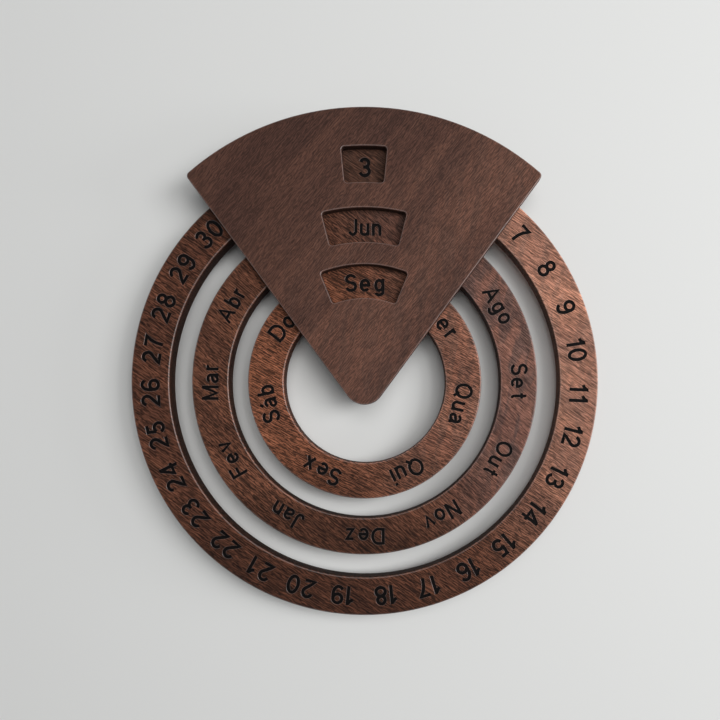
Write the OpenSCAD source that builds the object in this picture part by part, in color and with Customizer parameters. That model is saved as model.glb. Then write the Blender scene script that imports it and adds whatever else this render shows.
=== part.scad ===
// Perpetual wall calendar: three wooden rings turn inside a fan-shaped housing, and three windows
// in the front of the fan show the date, the month and the day of the week.
//
// Frame: the origin is where the rings' common axis meets the wall. +X is to the right of someone
// who faces the calendar, +Z is up, and +Y goes into the wall, so the front of the fan faces -Y.
// Sizes are in millimetres and angles in degrees.

/* [Rings] */
// Outer radius of the date ring
date_r = 150; // [140:1:160]
// Width of the date ring
date_w = 24.5; // [20:0.5:28]
// Open gap between the date ring and the month ring
date_gap = 14.5; // [11:0.5:18]
// Width of the month ring
month_w = 23.5; // [19:0.5:27]
// Open gap between the month ring and the weekday ring
month_gap = 12.5; // [10:0.5:16]
// Width of the weekday ring
weekday_w = 23; // [19:0.5:26]
// Thickness of all three rings
ring_t = 12; // [10:0.5:18]
// Rounding of the rings' edges
ring_edge = 1.2; // [0.5:0.1:2.5]

/* [Fan] */
// Reach of the fan's top beyond the date ring
cover_reach = 24; // [20:0.5:30]
// Height of the top arc's centre above the ring axis
arc_lift = 4; // [0:0.5:8]
// Angle between each straight side and the upright
fan_half_angle = 36.3; // [32:0.1:40]
// Drop of the rounded tip below the ring axis
tip_drop = 14.7; // [12:0.1:20]
// Rounding of the tip
tip_round = 13; // [9:0.5:16]
// Rounding of the fan's two upper corners
corner_round = 3; // [2:0.5:8]
// Thickness of the front cover
cover_t = 6; // [5.5:0.5:12]
// Thickness of the back plate
back_t = 6; // [5.5:0.5:9]
// Distance from the cover's edge in to the edge of the back plate and guides
fan_inset = 8; // [6:0.5:10]

/* [Windows] */
// Angle across the date window
date_window_angle = 11.2; // [9:0.1:11.6]
// Angle across the month window
month_window_angle = 28.4; // [24:0.1:30]
// Angle across the weekday window
weekday_window_angle = 44; // [40:0.5:51]
// Rim of ring that stays hidden above and below each window
window_margin = 0.8; // [0.4:0.1:3]
// Rounding of the windows' corners
window_round = 2; // [1:0.1:3]

/* [Running fits] */
// Clearance between a ring's edge and the guide beside it
ring_clearance = 0.3; // [0.2:0.05:0.6]
// Play in front of a ring and behind it
ring_play = 0.2; // [0.1:0.05:0.5]
// Thickness of the felt glides
felt_t = 1; // [0.5:0.1:2]
// Width of ring face left bare on each side of its felt
felt_margin = 4; // [2:0.5:7]

/* [Assembly screws] */
// Diameter of the screws' shanks
screw_d = 3.5; // [3:0.1:4]
// Diameter of the screws' heads
screw_head_d = 7; // [6:0.1:8]
// Depth of the screws' heads below the back plate's rear face
head_sink = 2; // [0.5:0.1:2.5]
// Length of screw that bites into the front cover
screw_bite = 4; // [3:0.1:5]

/* [Locating dowels] */
// Diameter of the dowels
dowel_d = 6; // [5:0.1:7]
// Length of dowel in the back plate, and again in the front cover
dowel_seat = 3; // [2.5:0.1:4]

/* [Keyhole hangers] */
// Distance between the two hangers, centre to centre
hanger_spacing = 100; // [80:1:110]
// Distance of the keyholes' round entries below the fan's top
hanger_from_top = 44; // [40:1:52]
// Width of a hanger plate
hanger_w = 38; // [34:0.5:44]
// Height of a hanger plate
hanger_h = 20; // [18:0.5:22]
// Thickness of a hanger plate
hanger_t = 1.5; // [1:0.1:2]
// Radius of a keyhole's round entry
keyhole_r = 4.5; // [4:0.1:5]
// Width of a keyhole's slot
keyhole_slot_w = 4.5; // [3.5:0.1:5]
// Climb from a keyhole's entry to the end of its slot
keyhole_climb = 6.5; // [5:0.1:7]
// Depth of the pocket behind each hanger, for the head of a wall screw
pocket_depth = 3; // [2.4:0.1:3.2]

/* [Wall bumpers] */
// Radius of a bumper
bumper_r = 5; // [3.5:0.1:5.5]
// Thickness of a bumper, which holds the back plate off the wall
bumper_t = 1.5; // [1:0.1:3]

/* [Hidden] */
$fn = 96;

WALNUT = "#5a3a2d";
WALNUT_RING = "#6b4330";
BEECH = "#c9a477";
STEEL = "#a9abad";
FELT = "#2b2a29";
RUBBER = "#1b1b1b";

// The rings' radii, from the outside in
date_in = date_r - date_w;
month_r = date_in - date_gap;
month_in = month_r - month_w;
weekday_r = month_in - month_gap;
weekday_in = weekday_r - weekday_w;

// The fan's outline
fan_top = date_r + cover_reach;
arc_r = fan_top - arc_lift;
apex_z = -tip_drop - tip_round * (1 / sin(fan_half_angle) - 1);
plate_corner_round = 3;
plate_tip_round = 5;

// Levels, measured out from the wall
guide_t = felt_t + ring_t + 2 * ring_play;
plate_level = bumper_t;
guide_level = plate_level + back_t;
ring_level = guide_level + felt_t + ring_play;
cover_level = guide_level + guide_t;

// Assembly screws
screw_head_h = 2.4;
screw_tip_h = 3;
screw_len = back_t - head_sink + guide_t + screw_bite;
screw_clearance = 0.15;
bite_clearance = 0.05;
rim_screw_angles = [-33, -11, 11, 33];
date_month_screw_angles = [-31, 0, 31];
month_weekday_screw_angles = [-30, 0, 30];
hub_screw_angle = 26;
hub_inset = 13;

// Locating dowels: two to a guide
dowel_clearance = 0.05;
dowel_end_gap = 0.5;
dowel_chamfer = 0.6;
rim_dowel_angle = 22;
date_month_dowel_angle = 16;
month_weekday_dowel_angle = 15;

// Hanger plates and their screws
hanger_clearance = 0.1;
hanger_round = 3;
hanger_screw_reach = 14;
hanger_screw_d = 2.6;
hanger_screw_head_d = 5;
hanger_screw_head_h = 1.2;
hanger_screw_tip_h = 1.2;
hanger_screw_len = 5;
// Distance from a plate's centre down to its keyhole's entry
entry_drop = (keyhole_climb + keyhole_slot_w / 2 - keyhole_r) / 2;

// Bumpers: one on the ring axis, and one near each upper corner of the back plate
upper_bumper_angle = 33;
upper_bumper_inset = 15;

// A small overlap that keeps cutting shapes clear of the faces that they cut
eps = 0.5;
// A hair's breadth
hair = 0.02;

// ---- Placing -------------------------------------------------------------------------------

// Children are drawn lying down, +Y up the wall and +Z out of it, and stand up at this level.
module out_from_wall(level) {
    translate([0, -level, 0])
        rotate([90, 0, 0])
            children();
}

// A point at an angle clockwise from straight up
function clock(radius, angle) = [radius * sin(angle), radius * cos(angle)];

function mirrored(point) = [-point.x, point.y];

// ---- Outlines ------------------------------------------------------------------------------

// The roundings of an outline's corners, each a hair too large, so that it crosses the lines and
// arcs that it joins and doesn't only touch them
module corners(centres, radius) {
    for (c = centres)
        translate(c)
            circle(radius + hair);
}

// The fan's outline, drawn in by an inset: an arc on top, two straight sides and a rounded tip
module fan(inset, corner, tip) {
    arc_c = [0, arc_lift];
    radius = arc_r - inset;
    along = clock(1, fan_half_angle);
    outwards = [along.y, -along.x];
    apex = [0, apex_z + inset / sin(fan_half_angle)];
    tip_c = apex + [0, tip / sin(fan_half_angle)];
    from_arc = apex - corner * outwards - arc_c;
    reach = sqrt(pow(radius - corner, 2) + pow(from_arc * along, 2) - from_arc * from_arc)
            - from_arc * along;
    corner_c = arc_c + from_arc + reach * along;
    beyond = arc_c + 1.5 * (corner_c - arc_c);
    right_side = [
        tip_c + tip * outwards,
        corner_c + corner * outwards,
        corner_c,
        beyond,
        [beyond.x, 2 * radius]
    ];
    intersection() {
        translate(arc_c)
            circle(radius);
        polygon(concat(right_side, [for (i = [4:-1:0]) mirrored(right_side[i])]));
    }
    corners([tip_c], tip);
    corners([corner_c, mirrored(corner_c)], corner);
}

module plate_fan(inset = fan_inset) {
    fan(inset, plate_corner_round, plate_tip_round);
}

module annulus(outer, inner) {
    difference() {
        circle(outer);
        circle(inner);
    }
}

// A window over a ring: two arcs round the ring axis, two radial sides and four rounded corners
module window(outer, inner, angle, corner) {
    along = clock(1, angle / 2);
    outwards = [along.y, -along.x];
    outer_c = along * sqrt(pow(outer - corner, 2) - pow(corner, 2)) - corner * outwards;
    inner_c = along * sqrt(pow(inner + corner, 2) - pow(corner, 2)) - corner * outwards;
    right_side = [
        inner_c / 2,
        inner_c,
        inner_c + corner * outwards,
        outer_c + corner * outwards,
        outer_c,
        outer_c * 1.5
    ];
    difference() {
        intersection() {
            circle(outer);
            polygon(concat(right_side, [for (i = [5:-1:0]) mirrored(right_side[i])]));
        }
        circle(inner);
    }
    corners([outer_c, inner_c, mirrored(outer_c), mirrored(inner_c)], corner);
}

module ring_window(outer, inner, angle) {
    window(outer - window_margin, inner + window_margin, angle, window_round);
}

module rounded_rectangle(w, h, corner) {
    square([w - 2 * corner, h], center = true);
    square([w, h - 2 * corner], center = true);
    for (x = [-1, 1], y = [-1, 1])
        translate([x * (w / 2 - corner), y * (h / 2 - corner)])
            circle(corner);
}

// ---- Where the screws, hangers and bumpers go ----------------------------------------------

rim_band_mid = (date_r + ring_clearance + arc_r + arc_lift - fan_inset) / 2;
date_month_mid = (date_in + month_r) / 2;
month_weekday_mid = (month_in + weekday_r) / 2;
screw_places = concat(
    [for (a = rim_screw_angles) clock(rim_band_mid, a)],
    [for (a = date_month_screw_angles) clock(date_month_mid, a)],
    [for (a = month_weekday_screw_angles) clock(month_weekday_mid, a)],
    [for (a = [-hub_screw_angle, hub_screw_angle]) clock(weekday_in - hub_inset, a)],
    [[0, weekday_in / 3]]
);
dowel_places = concat(
    [for (side = [-1, 1]) clock(rim_band_mid, side * rim_dowel_angle)],
    [for (side = [-1, 1]) clock(date_month_mid, side * date_month_dowel_angle)],
    [for (side = [-1, 1]) clock(month_weekday_mid, side * month_weekday_dowel_angle)],
    [[0, weekday_in - hub_inset], [0, 0]]
);
hanger_centre = fan_top - hanger_from_top + entry_drop;
hanger_places = [for (side = [-1, 1]) [side * hanger_spacing / 2, hanger_centre]];
upper_bumper_r = date_r - upper_bumper_inset;

// ---- Fasteners -----------------------------------------------------------------------------

// A countersunk wood screw that points out from the wall, with its head's face at this level
module countersunk_screw(d, head_d, head_h, tip_h, length, recess) {
    difference() {
        union() {
            cylinder(h = head_h, d1 = head_d, d2 = d);
            translate([0, 0, head_h])
                cylinder(h = length - head_h - tip_h, d = d);
            translate([0, 0, length - tip_h])
                cylinder(h = tip_h, d1 = d, d2 = d / 6);
        }
        for (turn = [0, 90])
            rotate(turn)
                cube([head_d * 0.62, head_d * 0.14, 2 * recess], center = true);
    }
}

// The hole that such a screw passes through, open behind the head
module countersunk_hole(d, head_d, head_h, depth, sink, clearance) {
    translate([0, 0, -eps])
        cylinder(h = sink + eps, d = head_d + 2 * clearance);
    translate([0, 0, sink])
        cylinder(h = head_h, d1 = head_d + 2 * clearance, d2 = d + 2 * clearance);
    cylinder(h = depth, d = d + 2 * clearance);
}

// A dowel from level 0 up to its length, with chamfered ends
module dowel(length) {
    translate([0, 0, dowel_chamfer])
        cylinder(h = length - 2 * dowel_chamfer, d = dowel_d);
    for (end = [0, 1])
        translate([0, 0, end * (length - dowel_chamfer)])
            cylinder(h = dowel_chamfer, d1 = dowel_d - 2 * dowel_chamfer * (1 - end),
                     d2 = dowel_d - 2 * dowel_chamfer * end);
}

// Holes for all the dowels, of this depth from level 0
module dowel_holes(depth) {
    for (p = dowel_places)
        translate([p.x, p.y, 0])
            cylinder(h = depth, d = dowel_d + 2 * dowel_clearance);
}

// ---- Housing -------------------------------------------------------------------------------

module front_cover() {
    color(WALNUT)
        out_from_wall(cover_level)
            difference() {
                linear_extrude(cover_t)
                    fan(0, corner_round, tip_round);
                translate([0, 0, -eps])
                    linear_extrude(cover_t + 2 * eps) {
                        ring_window(date_r, date_in, date_window_angle);
                        ring_window(month_r, month_in, month_window_angle);
                        ring_window(weekday_r, weekday_in, weekday_window_angle);
                    }
                for (p = screw_places)
                    translate([p.x, p.y, -eps])
                        cylinder(h = screw_bite + 2 * eps, d = screw_d + 2 * bite_clearance);
                translate([0, 0, -eps])
                    dowel_holes(dowel_seat + dowel_end_gap + eps);
            }
}

module back_plate() {
    color(WALNUT)
        out_from_wall(plate_level)
            difference() {
                linear_extrude(back_t)
                    plate_fan();
                for (p = screw_places)
                    translate(p)
                        countersunk_hole(screw_d, screw_head_d, screw_head_h, back_t + eps,
                                         head_sink, screw_clearance);
                translate([0, 0, back_t - dowel_seat - dowel_end_gap])
                    dowel_holes(back_t);
                for (p = hanger_places)
                    translate(p)
                        hanger_recess();
            }
}

// The shallow seat of a hanger plate, the pocket for a wall screw's head, and two pilot holes
module hanger_recess() {
    translate([0, 0, -eps])
        linear_extrude(hanger_t + eps)
            rounded_rectangle(hanger_w + 2 * hanger_clearance, hanger_h + 2 * hanger_clearance,
                              hanger_round);
    translate([0, 0, -eps])
        linear_extrude(hanger_t + pocket_depth + eps) {
            for (y = [-entry_drop, keyhole_climb - entry_drop])
                translate([0, y])
                    circle(keyhole_r + eps);
            translate([-keyhole_r - eps, -entry_drop])
                square([2 * (keyhole_r + eps), keyhole_climb]);
        }
    for (side = [-1, 1])
        translate([side * hanger_screw_reach, 0, 0])
            cylinder(h = hanger_screw_len + bite_clearance, d = hanger_screw_d + 2 * bite_clearance);
}

// A guide fills its band of the ring layer, and is clamped between the back plate and the cover.
module guide() {
    color(WALNUT)
        out_from_wall(guide_level)
            difference() {
                linear_extrude(guide_t)
                    children();
                for (p = screw_places)
                    translate([p.x, p.y, -eps])
                        cylinder(h = guide_t + 2 * eps, d = screw_d + 2 * screw_clearance);
                translate([0, 0, -eps])
                    dowel_holes(guide_t + 2 * eps);
            }
}

module rim_guide() {
    guide()
        difference() {
            plate_fan();
            circle(date_r + ring_clearance);
        }
}

module date_month_guide() {
    guide()
        intersection() {
            plate_fan();
            annulus(date_in - ring_clearance, month_r + ring_clearance);
        }
}

module month_weekday_guide() {
    guide()
        intersection() {
            plate_fan();
            annulus(month_in - ring_clearance, weekday_r + ring_clearance);
        }
}

module hub_guide() {
    guide()
        intersection() {
            plate_fan();
            circle(weekday_in - ring_clearance);
        }
}

// ---- Rings ---------------------------------------------------------------------------------

module ring(outer, width) {
    color(WALNUT_RING)
        out_from_wall(ring_level)
            rotate_extrude()
                translate([outer - width / 2, ring_t / 2])
                    rounded_rectangle(width, ring_t, ring_edge);
}

module date_ring() {
    ring(date_r, date_w);
}

module month_ring() {
    ring(month_r, month_w);
}

module weekday_ring() {
    ring(weekday_r, weekday_w);
}

// ---- Felt glides ---------------------------------------------------------------------------

// A strip of felt on the back plate, behind the part of a ring that is inside the fan
module felt(outer, inner) {
    color(FELT)
        out_from_wall(guide_level)
            linear_extrude(felt_t)
                intersection() {
                    plate_fan(fan_inset + felt_margin);
                    annulus(outer - felt_margin, inner + felt_margin);
                }
}

module date_felt() {
    felt(date_r, date_in);
}

module month_felt() {
    felt(month_r, month_in);
}

module weekday_felt() {
    felt(weekday_r, weekday_in);
}

// ---- Hardware ------------------------------------------------------------------------------

module hanger(place) {
    color(STEEL)
        out_from_wall(plate_level)
            translate(place)
                difference() {
                    linear_extrude(hanger_t)
                        rounded_rectangle(hanger_w, hanger_h, hanger_round);
                    translate([0, -entry_drop, -eps])
                        cylinder(h = hanger_t + 2 * eps, r = keyhole_r);
                    translate([0, keyhole_climb - entry_drop, -eps])
                        cylinder(h = hanger_t + 2 * eps, d = keyhole_slot_w);
                    translate([-keyhole_slot_w / 2, -entry_drop, -eps])
                        cube([keyhole_slot_w, keyhole_climb, hanger_t + 2 * eps]);
                    for (side = [-1, 1])
                        translate([side * hanger_screw_reach, 0, 0])
                            countersunk_hole(hanger_screw_d, hanger_screw_head_d,
                                             hanger_screw_head_h, hanger_t + eps, 0,
                                             bite_clearance);
                }
}

module hanger_left() {
    hanger(hanger_places[0]);
}

module hanger_right() {
    hanger(hanger_places[1]);
}

module hanger_screws() {
    color(STEEL)
        out_from_wall(plate_level)
            for (p = hanger_places, side = [-1, 1])
                translate([p.x + side * hanger_screw_reach, p.y])
                    countersunk_screw(hanger_screw_d, hanger_screw_head_d, hanger_screw_head_h,
                                      hanger_screw_tip_h, hanger_screw_len, 0.7);
}

module assembly_screws() {
    color(STEEL)
        out_from_wall(plate_level + head_sink)
            for (p = screw_places)
                translate(p)
                    countersunk_screw(screw_d, screw_head_d, screw_head_h, screw_tip_h,
                                      screw_len, 1.4);
}

module locating_dowels() {
    color(BEECH)
        out_from_wall(guide_level - dowel_seat)
            for (p = dowel_places)
                translate(p)
                    dowel(guide_t + 2 * dowel_seat);
}

module bumper(place) {
    color(RUBBER)
        out_from_wall(0)
            translate(place)
                cylinder(h = bumper_t, r = bumper_r);
}

module bumper_left() {
    bumper(clock(upper_bumper_r, -upper_bumper_angle));
}

module bumper_right() {
    bumper(clock(upper_bumper_r, upper_bumper_angle));
}

module bumper_tip() {
    bumper([0, 0]);
}

front_cover();
back_plate();
rim_guide();
date_month_guide();
month_weekday_guide();
hub_guide();
date_ring();
month_ring();
weekday_ring();
date_felt();
month_felt();
weekday_felt();
locating_dowels();
assembly_screws();
hanger_left();
hanger_right();
hanger_screws();
bumper_left();
bumper_right();
bumper_tip();
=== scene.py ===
# %% [markdown]
# # A perpetual wall calendar in walnut
# Three wooden rings hang in a fan-shaped housing, one for the dates, one for the months and one
# for the days of the week. Each passes behind its own window in the front of the fan. The solids
# already say where everything is, so this lesson dresses them: it eases the edges that sandpaper
# or a router would have eased, engraves the characters, and gives each part its finish.

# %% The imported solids
from math import cos, hypot, pi, radians, sin

import bmesh
import bpy
from mathutils import Matrix, Vector


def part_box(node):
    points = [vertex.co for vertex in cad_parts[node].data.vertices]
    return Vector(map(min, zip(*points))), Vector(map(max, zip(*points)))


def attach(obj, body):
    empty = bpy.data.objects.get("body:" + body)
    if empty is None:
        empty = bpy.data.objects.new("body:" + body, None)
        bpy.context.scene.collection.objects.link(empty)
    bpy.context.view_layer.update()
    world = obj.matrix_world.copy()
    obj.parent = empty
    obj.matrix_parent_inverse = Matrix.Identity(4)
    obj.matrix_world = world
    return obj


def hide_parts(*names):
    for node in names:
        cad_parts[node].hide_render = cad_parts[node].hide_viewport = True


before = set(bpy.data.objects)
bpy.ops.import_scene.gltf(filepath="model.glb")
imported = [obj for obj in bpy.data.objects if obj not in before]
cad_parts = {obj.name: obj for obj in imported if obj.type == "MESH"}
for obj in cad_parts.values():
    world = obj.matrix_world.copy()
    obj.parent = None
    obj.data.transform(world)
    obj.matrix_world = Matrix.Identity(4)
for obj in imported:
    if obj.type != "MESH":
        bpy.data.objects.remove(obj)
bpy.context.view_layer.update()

MM = 0.001

# %% [markdown]
# ## The camera
# The calendar is seen square on from a little under half a metre, which is close enough for the
# inner walls of the rings to show. The lens looks straight at the wall just below the rings' axis,
# and a small shift frames the fan above it. Turning the camera up instead would make the rings oval.

# %% The camera
ring_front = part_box("date_ring")[0].y
CAMERA_DISTANCE = 430 * MM      # from the rings' faces
FRAME_WIDTH = 462.4 * MM        # how much of the plane of the rings' faces is in the frame
LENS_X, LENS_Z = 26.0 * MM, -26.6 * MM          # the point that the lens faces squarely
CENTRE_X, CENTRE_Z = -3.0 * MM, 14.0 * MM       # the middle of the frame

camera = bpy.data.cameras.new("camera")
camera.sensor_width = 36
camera.lens = camera.sensor_width * CAMERA_DISTANCE / FRAME_WIDTH
camera.shift_x = (CENTRE_X - LENS_X) / FRAME_WIDTH
camera.shift_y = (CENTRE_Z - LENS_Z) / FRAME_WIDTH
camera_object = bpy.data.objects.new("camera", camera)
camera_object.location = (LENS_X, ring_front - CAMERA_DISTANCE, LENS_Z)
camera_object.rotation_euler = (pi / 2, 0, 0)
bpy.context.scene.collection.objects.link(camera_object)
bpy.context.scene.camera = camera_object
bpy.context.scene.view_settings.view_transform = "Standard"
print("the lens is", round(camera.lens, 1), "mm")

# %% [markdown]
# ## Nodes and colours
# Every finish below is a few nodes. One helper adds a node, sets it and links it. Colours are
# written as they look on a screen, and a second helper turns them into the linear values that a
# shader works in. Some nodes have several inputs of one name, so their inputs go by number: on a
# Mix node 0 is the share, 2 and 3 are two numbers, and 6 and 7 are two colours. On a Map Range
# node 0 is the value, 1 and 2 are where it runs from and to, and 3 and 4 what that becomes.

# %% Helpers for nodes and colours
SMOOTH = {"interpolation_type": "SMOOTHSTEP"}     # a Map Range that eases in and out


def linear(hex_colour):
    """The shader's colour for one written as on a screen, such as #5c433a."""
    channels = [int(hex_colour[i:i + 2], 16) / 255 for i in (1, 3, 5)]
    return [c / 12.92 if c <= 0.04045 else ((c + 0.055) / 1.055) ** 2.4 for c in channels] + [1]


def add(tree, kind, links=None, **settings):
    """Adds a node with its settings. links gives, for each of its inputs, a value or an output."""
    node = tree.nodes.new(kind)
    for key, value in settings.items():
        setattr(node, key, value)
    for socket, value in (links or {}).items():
        if isinstance(value, bpy.types.NodeSocket):
            tree.links.new(value, node.inputs[socket])
        else:
            node.inputs[socket].default_value = value
    return node


def new_material(name):
    """An empty material, with its tree and its shader."""
    material = bpy.data.materials.new(name)
    material.use_nodes = True
    tree = material.node_tree
    return material, tree, tree.nodes["Principled BSDF"]


print("#808080 on a screen is", round(linear("#808080")[0], 3), "in a shader")

# %% [markdown]
# ## The grain
# In walnut everything runs along the grain: the figure, the fibres and the pores. The grain itself
# is never quite straight. An image of a board would show that, but it would have seams where it
# repeats. So every pattern here reads the piece's own coordinates after they have been bent a
# little by broad noise, and then stretched along the grain to a real size in millimetres.

# %% Coordinates that follow the grain
WANDER = 4 * MM                   # between the furthest points that the grain strays to ...
WANDER_LENGTH = 125 * MM          # ... over about this much of a board


def bent_grain(tree):
    """The piece's own coordinates, bent so that the grain wanders."""
    place = add(tree, "ShaderNodeTexCoord").outputs["Object"]
    noise = add(tree, "ShaderNodeTexNoise", {
        "Vector": place, "Scale": 1 / WANDER_LENGTH, "Detail": 0.0}).outputs["Color"]
    noise = add(tree, "ShaderNodeVectorMath", {0: noise, 1: (0.5, 0.5, 0.5)},
                operation="SUBTRACT").outputs[0]
    wander = add(tree, "ShaderNodeVectorMath", {0: noise, 3: WANDER}, operation="SCALE").outputs[0]
    return add(tree, "ShaderNodeVectorMath", {0: place, 1: wander}, operation="ADD").outputs[0]


def along_grain(tree, place, angle, length_mm, width_mm):
    """Coordinates in which a fleck of this size is one unit long and one unit wide."""
    return add(tree, "ShaderNodeMapping", {
        "Vector": place, "Rotation": (0, -radians(angle), 0),
        "Scale": (length_mm * MM, width_mm * MM, width_mm * MM)}, vector_type="TEXTURE").outputs[0]


print("the grain strays by up to", round(WANDER / 2 / MM), "mm to either side")

# %% [markdown]
# ## The patterns of the wood
# Two textures make every pattern. Noise gives soft flecks, which do for figure, patches and pores.
# Fibres are longer than that and lie side by side, which is what a wave does once it is bent out
# of true. A board also changes slowly across its width, and that is a plain distance. Each pattern
# then tints the colour of the wood instead of replacing it, as layers in real wood do.

# %% Flecks, fibres, and the change across a board
BANDS_ONE_APART = pi / 10         # the scale at which a wave's bands lie one unit apart
UNTINTED = (1, 1, 1)


def flecks(tree, place, angle, size_mm, low, high, detail=2.0, distortion=0.0):
    """Flecks along the grain: 0 where the noise is below low, and 1 where it is above high."""
    noise = add(tree, "ShaderNodeTexNoise", {
        "Vector": along_grain(tree, place, angle, *size_mm), "Scale": 1.0, "Detail": detail,
        "Distortion": distortion}).outputs[0]
    return add(tree, "ShaderNodeMapRange", {0: noise, 1: low, 2: high}, **SMOOTH).outputs[0]


def fibre_lines(tree, place, angle, length_mm, apart_mm):
    """Wavy lines along the grain, which break off after about a length."""
    return add(tree, "ShaderNodeTexWave", {
        "Vector": along_grain(tree, place, angle, length_mm, apart_mm),
        "Scale": BANDS_ONE_APART, "Distortion": 10.0, "Detail": 2.0,
        "Detail Scale": 1 / BANDS_ONE_APART}, bands_direction="Z").outputs["Fac"]


def across_board(tree, place, angle, near_mm, far_mm):
    """0 up to the near distance from the axis and 1 past the far one, measured at an angle."""
    direction = (cos(radians(angle)), 0, sin(radians(angle)))
    distance = add(tree, "ShaderNodeVectorMath", {0: place, 1: direction},
                   operation="DOT_PRODUCT").outputs["Value"]
    return add(tree, "ShaderNodeMapRange", {0: distance, 1: near_mm * MM, 2: far_mm * MM},
               **SMOOTH).outputs[0]


def tinted(tree, colour, share, first, second):
    """The colour times a tint, which turns from first to second as the share goes from 0 to 1."""
    tint = add(tree, "ShaderNodeMix", {0: share, 6: (*first, 1), 7: (*second, 1)},
               data_type="RGBA").outputs[2]
    return add(tree, "ShaderNodeMix", {0: 1.0, 6: colour, 7: tint}, data_type="RGBA",
               blend_type="MULTIPLY").outputs[2]


print("a wave of scale", round(BANDS_ONE_APART, 3), "has its bands one unit apart")

# %% [markdown]
# ## From heart to bark, with painted sheen and shade
# A board is darker on its heart side than towards the bark, and here that paler side also carries a
# painted sheen, as it lies towards the lamps. Darker bands across a ring's top and bottom are painted
# shade. One noise texture could make a board uneven, but not in a given direction. The distance
# across the board can: it turns one colour into the other, and again into each band.

# %% The colour of a board
def board_colour(tree, place, heart, bark_and_sheen, bark_and_sheen_side, shade_bands):
    """A board's colour, with its painted sheen and bands of painted shade, and how far each point lies
    towards the paler, sheened side.
    """
    # paler towards one side: partly the board's tone, partly a painted sheen on the side towards the
    # lamps
    bark_and_sheen_share = across_board(tree, place, *bark_and_sheen_side)
    colour = add(tree, "ShaderNodeMix", {0: bark_and_sheen_share, 6: linear(heart), 7: linear(bark_and_sheen)},
                 data_type="RGBA").outputs[2]
    # bands of painted shade, darker across a ring's top and bottom
    for angle, near_mm, far_mm, darkness in shade_bands:
        shade_band = across_board(tree, place, angle, near_mm, far_mm)
        colour = tinted(tree, colour, shade_band, UNTINTED, (darkness,) * 3)
    return colour, bark_and_sheen_share


print("a board blends two colours, and darkens them by a tint for each stripe")

# %% [markdown]
# ## Figure and patches
# Broad bands of figure, about as long as a palm is wide, run along the board, and grey and reddish
# patches lie across them. Both are the same noise at two sizes and two angles. The patches show
# most towards the bark, so near the heart their share is mixed with a half, which hardly tints.

# %% Figure and patches
FIGURE_MM = (110, 22)             # length and width
FIGURE_DARK, FIGURE_PALE = (0.82, 0.82, 0.84), (1.18, 1.16, 1.13)
PATCH_MM, PATCH_ANGLE = (26, 7), 80
PATCH_GREY, PATCH_RED = (1.2, 0.9, 0.7), (1.2, 0.7, 0.4)    # how much of the mottle R, G, B take


def figured(tree, place, grain, colour, bark_and_sheen_share, mottle):
    """The colour with its figure and its patches."""
    figure = flecks(tree, place, grain, FIGURE_MM, low=0.32, high=0.68, detail=3.0, distortion=0.8)
    colour = tinted(tree, colour, figure, FIGURE_DARK, FIGURE_PALE)
    patch = flecks(tree, place, PATCH_ANGLE, PATCH_MM, low=0.38, high=0.62, detail=3.0,
                   distortion=1.0)
    share = add(tree, "ShaderNodeMix", {0: bark_and_sheen_share, 2: 0.5, 3: patch}).outputs[0]
    return tinted(tree, colour, share, [1 - c * mottle for c in PATCH_GREY],
                  [1 + c * mottle for c in PATCH_RED])


print("figure is", FIGURE_MM[0], "mm long, and patches are", PATCH_MM[0], "mm")

# %% [markdown]
# ## Fibres and pores
# Streaks about two centimetres long and fibres as long as a grain of rice run along the board, some
# dull and some with a warm gloss. The pores, which the plane cuts open lengthwise, are short dark
# dashes. Real fibres lie a few tenths of a millimetre apart and would blur to one brown at this
# distance, so they are drawn over a millimetre apart, as fine as the render can show. Modelling
# them would take millions of faces, so a bump, which only bends the light, gives them their relief.

# %% Fibres and pores
STREAK_MM = (22, 2.0)
GLOSS_WARMTH = (1.2, 1.0, 0.85)   # how much of the contrast R, G and B take in a glossy fibre
PORE_SHARES = (1.2, 0.25)         # a pore's length in fibres, and its width in their distances
PORE_DARKNESS = 0.9               # as a share of the contrast
RELIEF = 0.15 * MM


def fibrous(tree, place, grain, colour, bark_and_sheen_share, fibre_mm, apart_mm, contrast, streak, calm):
    """The colour with its streaks, fibres and pores, and the bump that they make."""
    fibre = fibre_lines(tree, place, grain, fibre_mm, apart_mm)
    clear_fibre = add(tree, "ShaderNodeMapRange", {0: fibre, 1: 0.3, 2: 0.7}, **SMOOTH).outputs[0]
    long_streak = flecks(tree, place, grain, STREAK_MM, low=0.3, high=0.7)
    shown = add(tree, "ShaderNodeMapRange", {0: bark_and_sheen_share, 3: 1.0, 4: 1.0 - calm}, **SMOOTH).outputs[0]
    for pattern, strength in ((long_streak, streak), (clear_fibre, 1.0)):
        share = add(tree, "ShaderNodeMix", {0: shown, 2: 0.5, 3: pattern}).outputs[0]
        colour = tinted(tree, colour, share, ((1 - contrast) ** strength,) * 3,
                        [(1 + contrast) ** (c * strength) for c in GLOSS_WARMTH])
    pore_mm = (PORE_SHARES[0] * fibre_mm, PORE_SHARES[1] * apart_mm)
    pore = flecks(tree, place, grain, pore_mm, low=0.53, high=0.58, detail=0.0)
    colour = tinted(tree, colour, pore, UNTINTED, (1 - PORE_DARKNESS * contrast,) * 3)
    height = add(tree, "ShaderNodeMath", {0: fibre, 1: pore}, operation="SUBTRACT").outputs[0]
    bump = add(tree, "ShaderNodeBump", {"Height": height, "Strength": 0.6, "Distance": RELIEF})
    return colour, bump.outputs[0]


print("the fibres stand", round(RELIEF / MM, 2), "mm high")

# %% [markdown]
# ## Shaded walls and highlit edges
# Across the grain, wood drinks more oil, so the sawn walls of a board come out darker than its
# face, and here painted shade darkens them further. Where sandpaper and hands have rounded an edge,
# the wood is polished and a little paler, and that paler colour is also a painted highlight.
# Painting both by hand would need a map for each piece. Here the normal tells them apart: it
# points along Y on a face, square to Y on a wall, and somewhere between the two on an edge.

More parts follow.
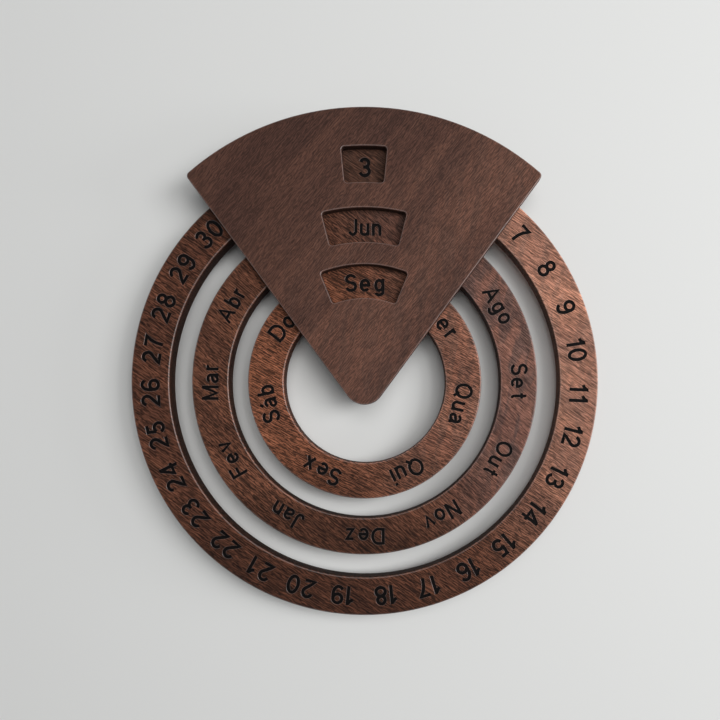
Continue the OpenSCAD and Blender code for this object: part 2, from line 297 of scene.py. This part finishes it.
# %% Shading by the way a surface faces
# how much paler a rounded edge is, which is partly wear and partly a painted highlight
EDGE_WEAR_AND_HIGHLIGHT = 1.25


def shaded_walls_and_highlit_edges(tree, colour, wall):
    """The colour, darkened with painted shade on sawn walls and paler with a painted highlight on
    rounded edges, and how much each point is such an edge.
    """
    normal = add(tree, "ShaderNodeNewGeometry").outputs["Normal"]
    normal_y = add(tree, "ShaderNodeSeparateXYZ", {0: normal}).outputs["Y"]
    facing = add(tree, "ShaderNodeMath", {0: normal_y}, operation="ABSOLUTE").outputs[0]
    off_wall = add(tree, "ShaderNodeMapRange", {0: facing, 1: 0.0, 2: 0.25}, **SMOOTH).outputs[0]
    clear_of_wall = add(tree, "ShaderNodeMapRange", {0: facing, 1: 0.25, 2: 0.6}, **SMOOTH).outputs[0]
    clear_of_face = add(tree, "ShaderNodeMapRange", {0: facing, 1: 0.97, 2: 0.998, 3: 1.0, 4: 0.0},
                        **SMOOTH).outputs[0]
    rubbed_and_highlit = add(tree, "ShaderNodeMath", {0: clear_of_wall, 1: clear_of_face},
                 operation="MULTIPLY").outputs[0]
    # painted shade, partly the darker end grain: sawn walls are darkened
    colour = tinted(tree, colour, off_wall, (wall,) * 3, UNTINTED)
    # painted highlight, partly wear: rounded edges are made paler
    return tinted(tree, colour, rubbed_and_highlit, UNTINTED, (EDGE_WEAR_AND_HIGHLIGHT,) * 3), rubbed_and_highlit


print("a rounded edge is", EDGE_WEAR_AND_HIGHLIGHT, "times as pale as the face")

# %% [markdown]
# ## Walnut under oil
# The boards are planed, sanded and wiped with a matt oil. It soaks in, so a face has hardly any
# gloss, and only its rubbed edges shine, as if they had a thin coat. A varnish would be one even
# coat on everything. The finish puts the steps above together, from the board's colour outwards.

# %% Oiled walnut
FACE_ROUGHNESS, EDGE_ROUGHNESS = 0.65, 0.4


def walnut(name, grain, heart, bark_and_sheen, bark_and_sheen_side, shade_bands, fibre_mm, apart_mm, contrast, streak,
           calm, mottle, wall):
    """Oiled walnut. All angles lie in the plane of the face, from +X towards +Z.

    The colour turns from heart to bark, and the paler bark side also carries a painted sheen,
    as it lies towards the lamps. The first of the three numbers for that side is the angle towards
    it, then the two distances in mm between which it turns. Each band of painted shade, darker
    across a ring's top or bottom, is given the same way, then how dark it is. Fibres are fibre_mm
    long and apart_mm apart. contrast is how far they darken and lighten the wood, streak the part
    of it that the streaks take, and calm how much weaker both are near the bark. mottle is for the
    patches, and wall is how dark a sawn wall is, which is painted shade in part.
    """
    material, tree, shader = new_material(name)
    shader.inputs["Specular IOR Level"].default_value = 0.08
    shader.inputs["Coat Roughness"].default_value = 0.35
    place = bent_grain(tree)
    # the board's colour, with a painted sheen on its paler side and bands of painted shade
    colour, bark_and_sheen_share = board_colour(tree, place, heart, bark_and_sheen, bark_and_sheen_side, shade_bands)
    colour = figured(tree, place, grain, colour, bark_and_sheen_share, mottle)
    colour, bump = fibrous(tree, place, grain, colour, bark_and_sheen_share, fibre_mm, apart_mm, contrast,
                           streak, calm)
    # painted shade on the sawn walls and a painted highlight on the rounded edges
    colour, rubbed_and_highlit = shaded_walls_and_highlit_edges(tree, colour, wall)
    roughness = add(tree, "ShaderNodeMapRange", {0: rubbed_and_highlit, 3: FACE_ROUGHNESS, 4: EDGE_ROUGHNESS},
                    **SMOOTH).outputs[0]
    tree.links.new(colour, shader.inputs["Base Color"])
    tree.links.new(bump, shader.inputs["Normal"])
    tree.links.new(roughness, shader.inputs["Roughness"])
    tree.links.new(rubbed_and_highlit, shader.inputs["Coat Weight"])
    print(name, "has", len(tree.nodes), "nodes")
    return material


print("a face's roughness is", FACE_ROUGHNESS, "and a rubbed edge's is", EDGE_ROUGHNESS)

# %% [markdown]
# ## Four boards
# The housing and each ring come from boards of their own, so they differ in colour, in grain and
# in how lively they are. One walnut with other numbers for each board gives that. The housing's is
# the calmest and darkest, and the date ring's runs from dark heartwood to a pale pinkish side, paler
# still for a painted sheen on the side towards the lamps. Every ring also carries bands of painted
# shade across its top and bottom.

# %% The boards
# each board's paler side carries a painted sheen, its bands are painted shade, and wall darkens its
# sawn walls partly with painted shade
cover_wood = walnut(
    "oiled_walnut_cover", grain=52, heart="#4a342d", bark_and_sheen="#5e443b", bark_and_sheen_side=(-40, -150, 30),
    shade_bands=(), fibre_mm=6, apart_mm=1.25, contrast=0.28, streak=0.08, calm=0.0, mottle=0.1, wall=0.38)
date_wood = walnut(
    "oiled_walnut_date_ring", grain=-34, heart="#56392d", bark_and_sheen="#a47c6c", bark_and_sheen_side=(38, -20, 125),
    shade_bands=((-105, 95, 135, 0.6), (95, 100, 128, 0.2)), fibre_mm=8, apart_mm=1.3, contrast=0.6,
    streak=0.25, calm=0.45, mottle=0.1, wall=0.34)
month_wood = walnut(
    "oiled_walnut_month_ring", grain=-40, heart="#5e4033", bark_and_sheen="#725750", bark_and_sheen_side=(20, 0, 80),
    shade_bands=((-100, 70, 98, 0.52), (80, 74, 97, 0.6)), fibre_mm=7, apart_mm=1.3, contrast=0.58,
    streak=0.3, calm=0.5, mottle=0.22, wall=0.34)
weekday_wood = walnut(
    "oiled_walnut_weekday_ring", grain=-28, heart="#764e3c", bark_and_sheen="#7c5a4d", bark_and_sheen_side=(0, -30, 60),
    shade_bands=((-88, 33, 62, 0.66), (90, 35, 60, 0.7)), fibre_mm=7, apart_mm=1.3, contrast=0.57,
    streak=0.3, calm=0.2, mottle=0.15, wall=0.34)

# %% [markdown]
# ## The other finishes
# The characters are filled with a matt black paint that hides the wood. The hangers and screws are
# steel with a bright, slightly cloudy coat of zinc. The bumpers are moulded black rubber, dull and
# faintly grained. The glides are pressed wool felt, and the dowels are pale, smooth beech. Each is
# one colour that varies a little, so one function with soft noise at the size of its grain does
# for all of them. Most of them are hidden, and the rest are seen from behind.

# %% Paint, steel, rubber, felt and beech
def plain(name, colour, roughness, grain_mm, depth_mm, metallic=0.0, contrast=0.15):
    """A finish of one colour that varies a little at the size of its grain."""
    material, tree, shader = new_material(name)
    shader.inputs["Metallic"].default_value = metallic
    shader.inputs["Roughness"].default_value = roughness
    shader.inputs["Specular IOR Level"].default_value = 0.5 if metallic else 0.05
    place = add(tree, "ShaderNodeTexCoord").outputs["Object"]
    spots = add(tree, "ShaderNodeTexNoise", {
        "Vector": place, "Scale": 1 / (grain_mm * MM), "Detail": 2.0}).outputs[0]
    dim = [c * (1 - contrast) for c in linear(colour)[:3]] + [1]
    mixed = add(tree, "ShaderNodeMix", {0: spots, 6: dim, 7: linear(colour)}, data_type="RGBA")
    bump = add(tree, "ShaderNodeBump", {"Height": spots, "Strength": 0.5, "Distance": depth_mm * MM})
    tree.links.new(mixed.outputs[2], shader.inputs["Base Color"])
    tree.links.new(bump.outputs[0], shader.inputs["Normal"])
    print(name, "is", colour, "with a grain of", grain_mm, "mm")
    return material


black_paint = plain("black_paint", "#040404", 0.6, grain_mm=0.8, depth_mm=0.05, contrast=0.3)
groove_floor = plain("black_paint_floor", "#0a0808", 0.6, grain_mm=0.9, depth_mm=0.1, contrast=0.5)
zinc = plain("zinc_plated_steel", "#b9bcbf", 0.32, grain_mm=1.5, depth_mm=0.01, metallic=1.0)
rubber = plain("moulded_rubber", "#1d1d1d", 0.7, grain_mm=0.5, depth_mm=0.03)
felt = plain("pressed_wool_felt", "#2b2a29", 0.95, grain_mm=0.4, depth_mm=0.15, contrast=0.5)
beech = plain("beech_dowel", "#c9a477", 0.55, grain_mm=1.0, depth_mm=0.03, contrast=0.2)

# %% [markdown]
# ## Boards with eased edges
# A sawn edge is sharp, and nobody leaves it so: a pass of sandpaper rounds it by half a millimetre
# or so and lets it catch the light. On the cover that is its outline and the windows, and on the
# back plate its outline and openings. A Bevel modifier would round every edge of the solid, also
# the ones that are glued to the next board. So a copy of the solid's mesh is welded, its loose
# triangles become whole faces, and only the sawn edges of its outer face are bevelled.

# %% Easing the edges of a board
HAIR = 0.01 * MM                  # closer than this counts as the same level


def shade(mesh):
    """Flat faces stay flat, and curved ones are smooth up to their crisp edges."""
    mesh.set_sharp_from_angle(angle=radians(35))
    for polygon in mesh.polygons:
        polygon.use_smooth = abs(polygon.normal.y) < 0.999


def finish_mesh(name, bm, materials, body):
    """Makes an object of a bmesh, with these materials, that rides on this body."""
    mesh = bpy.data.meshes.new(name)
    bm.to_mesh(mesh)
    bm.free()
    for material in materials:
        mesh.materials.append(material)
    shade(mesh)
    piece = bpy.data.objects.new(name, mesh)
    bpy.context.scene.collection.objects.link(piece)
    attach(piece, body)
    return piece


def eased_board(node, easing, at_back=False):
    """A copy of a board with the sawn edges of its outer face eased, which stands for the board."""
    near, far = (corner.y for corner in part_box(node))
    if at_back:
        near, far = far, near
    bm = bmesh.new()
    bm.from_mesh(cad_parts[node].data)
    bmesh.ops.remove_doubles(bm, verts=bm.verts, dist=0.001 * MM)
    bmesh.ops.dissolve_limit(bm, angle_limit=radians(0.5), verts=bm.verts, edges=bm.edges)
    sawn = [e for e in bm.edges if e.calc_face_angle() > radians(50)
            and all(abs(v.co.y - near) < HAIR for v in e.verts)
            and any(abs(v.co.y - far) < HAIR for f in e.link_faces for v in f.verts)]
    bmesh.ops.bevel(bm, geom=sawn, offset=easing, offset_type="OFFSET", segments=4, profile=0.5,
                    affect="EDGES", clamp_overlap=False, material=-1)
    bmesh.ops.recalc_face_normals(bm, faces=bm.faces)
    piece = finish_mesh(node + "_board", bm, [cover_wood], "housing")
    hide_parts(node)
    print(piece.name, "has", len(piece.data.polygons), "faces,", len(sawn), "edges eased")


eased_board("front_cover", 0.7 * MM)
eased_board("back_plate", 0.6 * MM, at_back=True)

# %% [markdown]
# ## The characters
# The letters and figures are plain and even, like those on a scale, and a router cuts each stroke
# as one groove. A font would give outlines instead of strokes, and its grooves would differ in
# width. So a character here is its strokes: a list of points to pass through, in which an
# ellipse's arc is written as its centre, its two radii and the angles that it runs between. A
# capital is 1 high, its strokes are STROKE wide, and the points lie along their middle lines.

# %% The strokes of each character
STROKE = 0.172
H = STROKE / 2                    # half a stroke, which is how far middle lines stay inside
X = 0.73 - H                      # the middle line of a stroke along the top of a small letter
ACUTE = "\N{COMBINING ACUTE ACCENT}"
CHARACTERS = {
    "0": [[(0.275, 0.5, 0.25, 0.43, 0, 360)]],
    "1": [[(0.33, 0), (0.33, 1)], [(0.07, 0.7), (0.22, 0.79), (0.32, 0.95)]],
    "2": [[(0.275, 0.69, 0.23, 0.24, 170, -38), (0.13, 0.2), (0.05, H), (0.53, H)]],
    "3": [[(0.265, 0.725, 0.21, 0.205, 165, -90), (0.19, 0.52)],
          [(0.19, 0.52), (0.265, 0.295, 0.245, 0.225, 90, -165)]],
    "4": [[(0.42, 0.95), (0.04, 0.31), (0.61, 0.31)], [(0.435, 0), (0.435, 1)]],
    "5": [[(0.5, 1 - H), (0.145, 1 - H), (0.09, 0.47)], [(0.27, 0.31, 0.24, 0.24, 140, -165)]],
    "6": [[(0.285, 0.3, 0.235, 0.23, 0, 360)], [(0.31, 0.55, 0.265, 0.38, 38, 180), (0.048, 0.32)]],
    "7": [[(0.02, 1 - H), (0.53, 1 - H), (0.36, 0.68), (0.24, 0.38), (0.19, 0)]],
    "8": [[(0.275, 0.735, 0.195, 0.195, 0, 360)], [(0.275, 0.295, 0.24, 0.225, 0, 360)]],
    "9": [[(0.285, 0.7, 0.235, 0.23, 0, 360)], [(0.26, 0.45, 0.265, 0.38, 218, 360), (0.522, 0.68)]],
    "A": [[(0.04, 0), (0.39, 0.9), (0.74, 0)], [(0.17, 0.32), (0.61, 0.32)]],
    "D": [[(H, 0.5), (H, 1 - H), (0.36, 0.5, 0.36, 0.43, 90, -90), (H, H), (H, 0.5)]],
    "F": [[(H, 0), (H, 1 - H), (0.62, 1 - H)], [(H, 0.5), (0.55, 0.5)]],
    "J": [[(0.43, 1), (0.24, 0.3, 0.19, 0.23, 0, -168)]],
    "M": [[(H, 0), (H, 1)], [(0.09, 0.93), (0.42, 0.1), (0.75, 0.93)], [(0.77, 0), (0.77, 1)]],
    "N": [[(H, 0), (H, 1)], [(0.09, 0.95), (0.64, 0.05)], [(0.66, 0), (0.66, 1)]],
    "O": [[(0.41, 0.5, 0.36, 0.43, 0, 360)]],
    "Q": [[(0.41, 0.5, 0.36, 0.43, 0, 360)], [(0.52, 0.24), (0.8, -0.03)]],
    "S": [[(0.32, 0.72, 0.245, 0.21, 18, 245), (0.335, 0.295, 0.26, 0.225, 65, -162)]],
    "T": [[(0, 1 - H), (0.72, 1 - H)], [(0.36, 0), (0.36, 1)]],
    "a": [[(0.265, X - 0.18, 0.195, 0.18, 160, 0), (0.46, 0.17), (0.49, 0)],
          [(0.455, 0.41), (0.29, 0.375), (0.21, 0.21, 0.155, 0.14, 105, 270), (0.325, 0.1),
           (0.455, 0.25)]],
    "b": [[(H, 0), (H, 1)], [(0.28, 0.365, 0.207, 0.29, 0, 360)]],
    "e": [[(0.29, 0.365, 0.228, 0.29, 3, 318)], [(0.07, 0.37), (0.59, 0.37)]],
    "g": [[(0.275, 0.365, 0.207, 0.29, 0, 360)], [(0.485, 0.73), (0.275, 0, 0.21, 0.19, 0, -160)]],
    "i": [[(H, 0), (H, 0.73)], [(H, 0.86), (H, 1)]],
    "l": [[(H, 0), (H, 1)]],
    "m": [[(H, 0), (H, 0.73)], [(H, 0.4), (0.245, X - 0.19, 0.172, 0.19, 180, 0), (0.417, 0)],
          [(0.417, 0.4), (0.59, X - 0.19, 0.173, 0.19, 180, 0), (0.763, 0)]],
    "n": [[(H, 0), (H, 0.73)], [(H, 0.38), (0.272, X - 0.2, 0.2, 0.2, 180, 0), (0.472, 0)]],
    "o": [[(0.29, 0.365, 0.228, 0.29, 0, 360)]],
    "r": [[(H, 0), (H, 0.73)], [(H, 0.38), (0.272, X - 0.21, 0.2, 0.21, 180, 78)]],
    "t": [[(0.165, 0.93), (0.28, 0.19, 0.115, 0.12, 180, 275)], [(0, X), (0.32, X)]],
    "u": [[(0.472, 0), (0.472, 0.73)], [(H, 0.73), (0.272, 0.27, 0.2, 0.2, 180, 360), (0.472, 0.36)]],
    "v": [[(0.035, 0.73), (0.255, 0.1), (0.475, 0.73)]],
    "x": [[(0.04, 0.73), (0.47, 0)], [(0.47, 0.73), (0.04, 0)]],
    "z": [[(0.05, X), (0.43, X), (0.065, H), (0.47, H)]],
    ACUTE: [[(0.2, 0.8), (0.34, 0.98)]],
}
print(len(CHARACTERS), "characters are drawn")

# %% [markdown]
# ## Words
# A router follows points, so each arc is worked out as a point every few degrees. The characters
# of a word are then set side by side with an even gap, which suits letters this plain better than
# a fixed pitch. An accent stands over the letter before it. Strokes of one character cross, and a
# cutter that crosses itself would cut wrongly, so each stroke says which layer it is cut in.

# %% Setting a word
LETTER_GAP = 0.14
ACCENT_SHIFT = 0.06               # how far an accent stands in from its letter's left edge
ACCENT_LAYER = 2                  # clear of the two strokes of the letter below it
ARC_STEP = 15                     # degrees


def path_points(stroke):
    """A stroke's points, with its arcs worked out, and whether it closes on itself."""
    points = []
    for item in stroke:
        if len(item) == 2:
            points.append(Vector(item))
            continue
        x, z, rx, rz, start, end = item
        count = max(2, round(abs(end - start) / ARC_STEP))
        for i in range(count + 1):
            angle = radians(start + (end - start) * i / count)
            points.append(Vector((x + rx * cos(angle), z + rz * sin(angle))))
    closed = (points[0] - points[-1]).length < 1e-6
    return (points[:-1] if closed else points), closed


def word_strokes(word):
    """The strokes of a word, side by side: (layer, points, closed), and the word's width."""
    strokes, left = [], 0.0
    for letter in word:
        paths = [path_points(stroke) for stroke in CHARACTERS[letter]]
        start = min(p.x for points, _ in paths for p in points) - H
        end = max(p.x for points, _ in paths for p in points) + H
        if letter == ACUTE:
            first_layer = ACCENT_LAYER
            shift = last_left - start + ACCENT_SHIFT
        else:
            first_layer = 0
            shift = left - start
            last_left = left
            left += end - start + LETTER_GAP
        strokes += [(first_layer + layer, [p + Vector((shift, 0)) for p in points], closed)
                    for layer, (points, closed) in enumerate(paths)]
    return strokes, left - LETTER_GAP


print("Seg is", round(word_strokes("Seg")[1], 2), "times as wide as a capital is high")

# %% [markdown]
# ## Grooves
# A groove has an upright wall, a flat floor and a small bevel at its lip, where the sandpaper
# went over it. No operator sweeps a section round mitred corners, so the section is set at each
# point of a stroke and its rows are joined with faces. The result is a cutter, a solid of the
# shape of the groove, and all strokes of one layer share one cutter.

# %% Sweeping a groove along a stroke
GROOVE_DEPTH = 0.8 * MM
LIP = 0.18 * MM                   # the depth of the bevel ...
LIP_WIDTH = 0.25 * MM             # ... and how far it reaches on either side of the groove
ABOVE = 0.2 * MM                  # how far the cutter stands clear of the wood
LONGEST_MITRE = 0.55              # keeps the sideways reach at a sharp corner in bounds
WOOD, PAINT, FLOOR = 0, 1, 2      # the materials of a groove's lip, walls and floor


def sideways_at(points, closed):
    """For each point, which way is sideways, lengthened where the stroke turns a corner."""
    sideways = []
    for i, p in enumerate(points):
        before = points[i - 1] if closed or i else None
        after = points[(i + 1) % len(points)] if closed or i < len(points) - 1 else None
        arriving = (p - before).normalized() if before is not None else None
        leaving = (after - p).normalized() if after is not None else arriving
        arriving = arriving if arriving is not None else leaving
        across = Vector((-(arriving + leaving).y, (arriving + leaving).x)).normalized()
        reach = across.dot(Vector((-arriving.y, arriving.x)))
        sideways.append(across / max(LONGEST_MITRE, reach))
    return sideways


def sweep_groove(bm, points, closed, half, face_y):
    """Adds the solid that a stroke's groove is cut with. points are X and Z in metres."""
    flare = half + LIP_WIDTH * (1 + ABOVE / LIP)
    section = [(-half, GROOVE_DEPTH), (half, GROOVE_DEPTH), (half, LIP), (flare, -ABOVE),
               (-flare, -ABOVE), (-half, LIP)]
    faces_of = (FLOOR, PAINT, WOOD, WOOD, WOOD, PAINT)
    rows = []
    for p, across in zip(points, sideways_at(points, closed)):
        rows.append([bm.verts.new((p.x + across.x * s, face_y + depth, p.y + across.y * s))
                     for s, depth in section])
    for row, following in zip(rows, rows[1:] + rows[:1] if closed else rows[1:]):
        for k, material in enumerate(faces_of):
            after = (k + 1) % len(section)
            face = bm.faces.new((row[k], row[after], following[after], following[k]))
            face.material_index = material
    if not closed:
        for row in (rows[0], rows[-1]):
            bm.faces.new(row).material_index = PAINT


def cutters(words, height, radius, face_y):
    """Cutters for words round a ring: the first is read at the top, and the rest run clockwise."""
    layers = [bmesh.new(), bmesh.new(), bmesh.new()]
    for k, word in enumerate(words):
        angle = 2 * pi * k / len(words)
        right = Vector((cos(angle), -sin(angle)))
        outwards = Vector((sin(angle), cos(angle)))
        strokes, width = word_strokes(word)
        for layer, points, closed in strokes:
            placed = [right * (p.x - width / 2) * height + outwards * (radius + (p.y - 0.5) * height)
                      for p in points]
            sweep_groove(layers[layer], placed, closed, STROKE / 2 * height, face_y)
    return layers


print("grooves are", round(GROOVE_DEPTH / MM, 1), "mm deep")

# %% [markdown]
# ## The rings
# A ring is turned from a glued-up board, and its corners are rounded on the lathe. Its section is
# a rectangle, so that outline is bevelled and spun round the axis. A ring made from the solid's
# own facets would show them along its rim, and this one can have as many steps as it needs.

# %% Turning a ring
RING_EASING = 0.9 * MM


def ring_radii(node):
    """A ring's outer and inner radius, measured on its solid."""
    distances = [hypot(v.co.x, v.co.z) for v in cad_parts[node].data.vertices]
    return max(distances), min(distances)


def turned_ring(outer, inner, front, back, steps):
    """The ring's body, spun from its section, whose corners are rounded."""
    bm = bmesh.new()
    corners = [bm.verts.new(c) for c in ((inner, front, 0), (outer, front, 0),
                                         (outer, back, 0), (inner, back, 0))]
    bm.faces.new(corners)
    bmesh.ops.bevel(bm, geom=bm.verts[:], offset=RING_EASING, offset_type="OFFSET", segments=6,
                    profile=0.5, affect="VERTICES", clamp_overlap=True, material=-1)
    bmesh.ops.delete(bm, geom=bm.faces[:], context="FACES_ONLY")
    bmesh.ops.spin(bm, geom=bm.verts[:] + bm.edges[:], cent=(0, 0, 0), axis=(0, 1, 0),
                   angle=2 * pi, steps=steps, use_merge=True)
    bmesh.ops.recalc_face_normals(bm, faces=bm.faces)
    return bm


print("the date ring's radii are", [round(r / MM, 1) for r in ring_radii("date_ring")], "mm")

# %% [markdown]
# ## Engraving
# The cutters are taken out of the ring one after the other. The faces that they leave keep the
# cutters' materials: black paint on the floor and walls, bare wood on the lip. Drawing the
# characters in the material would be lighter, but a groove that is really cut has walls that catch
# the light from every side. A Boolean can leave two faces back to back, and those are taken out.

# %% Cutting a groove
def cut_away(piece, bm):
    """Takes a cutter out of a piece."""
    bmesh.ops.recalc_face_normals(bm, faces=bm.faces)
    mesh = bpy.data.meshes.new("cutter")
    bm.to_mesh(mesh)
    bm.free()
    cutter = bpy.data.objects.new("cutter", mesh)
    bpy.context.scene.collection.objects.link(cutter)
    modifier = piece.modifiers.new("engrave", "BOOLEAN")
    modifier.object = cutter
    modifier.operation = "DIFFERENCE"
    modifier.solver = "MANIFOLD"
    evaluated = piece.evaluated_get(bpy.context.evaluated_depsgraph_get())
    cut = bpy.data.meshes.new_from_object(evaluated)
    piece.modifiers.clear()
    piece.data = cut
    bpy.data.objects.remove(cutter)


def drop_flaps(mesh):
    """Takes out of a mesh the pairs of faces, back to back, that cutting can leave."""
    bm = bmesh.new()
    bm.from_mesh(mesh)
    twins = {}
    for face in bm.faces:
        twins.setdefault(frozenset(face.verts), []).append(face)
    flaps = [face for pair in twins.values() if len(pair) > 1 for face in pair]
    bmesh.ops.delete(bm, geom=flaps, context="FACES")
    bm.to_mesh(mesh)
    open_edges = sum(not e.is_manifold for e in bm.edges)
    bm.free()
    print(len(flaps), "flaps are taken out, and", open_edges, "edges are open")


print("a groove's walls are", round((GROOVE_DEPTH - LIP) / MM, 2), "mm high below its lip")

# %% [markdown]
# ## Dates, months and weekdays
# The date ring has 31 numbers, the month ring 12 names and the weekday ring 7, each evenly spaced
# and read from the middle outwards, so that a word is upright in its window. They run clockwise
# and in their true order, because whoever turns a ring to the next day must find it there. Copies
# of one word could be spun round, but the words differ, so each is set at its own angle.

# %% The three rings
def engraved_ring(node, body, words, height, ring_wood, steps):
    """A ring with its words, which stands for the plain solid."""
    outer, inner = ring_radii(node)
    low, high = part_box(node)
    bm = turned_ring(outer, inner, low.y, high.y, steps)
    piece = finish_mesh(node + "_engraved", bm, [ring_wood, black_paint, groove_floor], body)
    for layer in cutters(words, height, (outer + inner) / 2, low.y):
        if layer.verts:
            cut_away(piece, layer)
        else:
            layer.free()
    drop_flaps(piece.data)
    shade(piece.data)
    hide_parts(node)
    print(piece.name, "has", len(piece.data.polygons), "faces")


DATES = [str((k + 2) % 31 + 1) for k in range(31)]
MONTHS = ["Jun", "Jul", "Ago", "Set", "Out", "Nov", "Dez", "Jan", "Fev", "Mar", "Abr", "Mai"]
WEEKDAYS = ["Seg", "Ter", "Qua", "Qui", "Sex", "Sa" + ACUTE + "b", "Dom"]

engraved_ring("date_ring", "dates", DATES, 12.3 * MM, date_wood, 240)
engraved_ring("month_ring", "months", MONTHS, 10.8 * MM, month_wood, 200)
engraved_ring("weekday_ring", "weekdays", WEEKDAYS, 11.2 * MM, weekday_wood, 160)

# %% [markdown]
# ## The parts that stay as they are
# The guides between the two boards, the glides, dowels, screws, hangers and bumpers already have
# their true shape, so they only need their finish. The guides are cut from the housing's board.

# %% Finishes for the other solids
FINISHES = {
    cover_wood: ("rim_guide", "date_month_guide", "month_weekday_guide", "hub_guide"),
    felt: ("date_felt", "month_felt", "weekday_felt"),
    beech: ("locating_dowels",),
    zinc: ("assembly_screws", "hanger_screws", "hanger_left", "hanger_right"),
    rubber: ("bumper_left", "bumper_right", "bumper_tip"),
}
for material, nodes in FINISHES.items():
    for node in nodes:
        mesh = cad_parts[node].data
        mesh.materials.clear()
        mesh.materials.append(material)
    print(material.name, "is on", ", ".join(nodes))

# %% [markdown]
# ## The wall
# The calendar hangs on a plain pale wall, which takes its shadow. Seen from behind, the wall would
# hide everything. Leaving it out would lose the shadow, so its paint is clear from behind, for light
# and view alike, and a ray that has come through it may go back out to the lamp there.

# %% The wall
WALL_HALF = 2.0                   # metres from its middle to its edge
WALL_GAP = 0.2 * MM               # behind the bumpers, so that they don't flicker against it

wall_paint, tree, shader = new_material("matt_wall_paint")
shader.inputs["Base Color"].default_value = linear("#dadbda")
shader.inputs["Roughness"].default_value = 0.9
behind = add(tree, "ShaderNodeNewGeometry").outputs["Backfacing"]
passed = add(tree, "ShaderNodeLightPath").outputs["Transparent Depth"]
clear = add(tree, "ShaderNodeMath", {0: behind, 1: passed}, operation="ADD", use_clamp=True).outputs[0]
see_through = add(tree, "ShaderNodeBsdfTransparent").outputs[0]
either = add(tree, "ShaderNodeMixShader", {0: clear, 1: shader.outputs[0], 2: see_through})
tree.links.new(either.outputs[0], tree.nodes["Material Output"].inputs["Surface"])

bm = bmesh.new()
bmesh.ops.create_grid(bm, x_segments=1, y_segments=1, size=WALL_HALF,
                      matrix=Matrix.Translation((0, WALL_GAP, 0)) @ Matrix.Rotation(pi / 2, 4, "X"))
wall_mesh = bpy.data.meshes.new("wall")
bm.to_mesh(wall_mesh)
bm.free()
wall_mesh.materials.append(wall_paint)
wall = bpy.data.objects.new("wall", wall_mesh)
bpy.context.scene.collection.objects.link(wall)
print("the wall is", 2 * WALL_HALF, "m wide")

# %% [markdown]
# ## The light
# A big soft lamp near the camera lights everything evenly. Three smaller ones, further and further
# to the right, throw the soft shadows to the left and pick out the edges, and a pale surround fills
# them. One small hard lamp would do that too, but its shadows would hide the rings' inner walls. A
# last lamp stands behind the wall for views of the back. The surround looks pale to the camera and
# in reflections, but it gives the wood only a little light, so that the shadows keep their depth.

# %% The lamps and the surround
def soft_lamp(name, place, size, watts, colour):
    """A square lamp that faces the rings' axis."""
    lamp = bpy.data.lights.new(name, "AREA")
    lamp.size = size
    lamp.energy = watts
    lamp.color = linear(colour)[:3]
    lamp_object = bpy.data.objects.new(name, lamp)
    lamp_object.location = place
    lamp_object.rotation_euler = (-Vector(place)).to_track_quat("-Z", "Y").to_euler()
    bpy.context.scene.collection.objects.link(lamp_object)
    print(name, "is", round(Vector(place).length, 2), "m away and has", watts, "W")


soft_lamp("front", (0.3, -2.1, 0.4), 1.4, 20.5, "#fffefd")
soft_lamp("key", (1.0, -1.75, 0.1), 0.7, 8.8, "#fffefd")
soft_lamp("side", (1.5, -1.45, 0.25), 0.8, 16, "#ffffff")
soft_lamp("grazing", (2.1, -0.6, -0.1), 0.6, 9, "#ffffff")
soft_lamp("behind", (-0.9, 1.4, 0.9), 1.2, 40, "#ffffff")

SURROUND_LIGHT, SURROUND_SEEN = 0.12, 0.85
world = bpy.data.worlds.new("surround")
bpy.context.scene.world = world
world.use_nodes = True
tree = world.node_tree
background = tree.nodes["Background"]
background.inputs["Color"].default_value = linear("#f6f8fa")
rays = add(tree, "ShaderNodeLightPath").outputs
seen = add(tree, "ShaderNodeMath", {0: rays["Is Camera Ray"], 1: rays["Is Glossy Ray"]},
           operation="ADD", use_clamp=True).outputs[0]
strength = add(tree, "ShaderNodeMapRange", {0: seen, 3: SURROUND_LIGHT, 4: SURROUND_SEEN}, **SMOOTH)
tree.links.new(strength.outputs[0], background.inputs["Strength"])
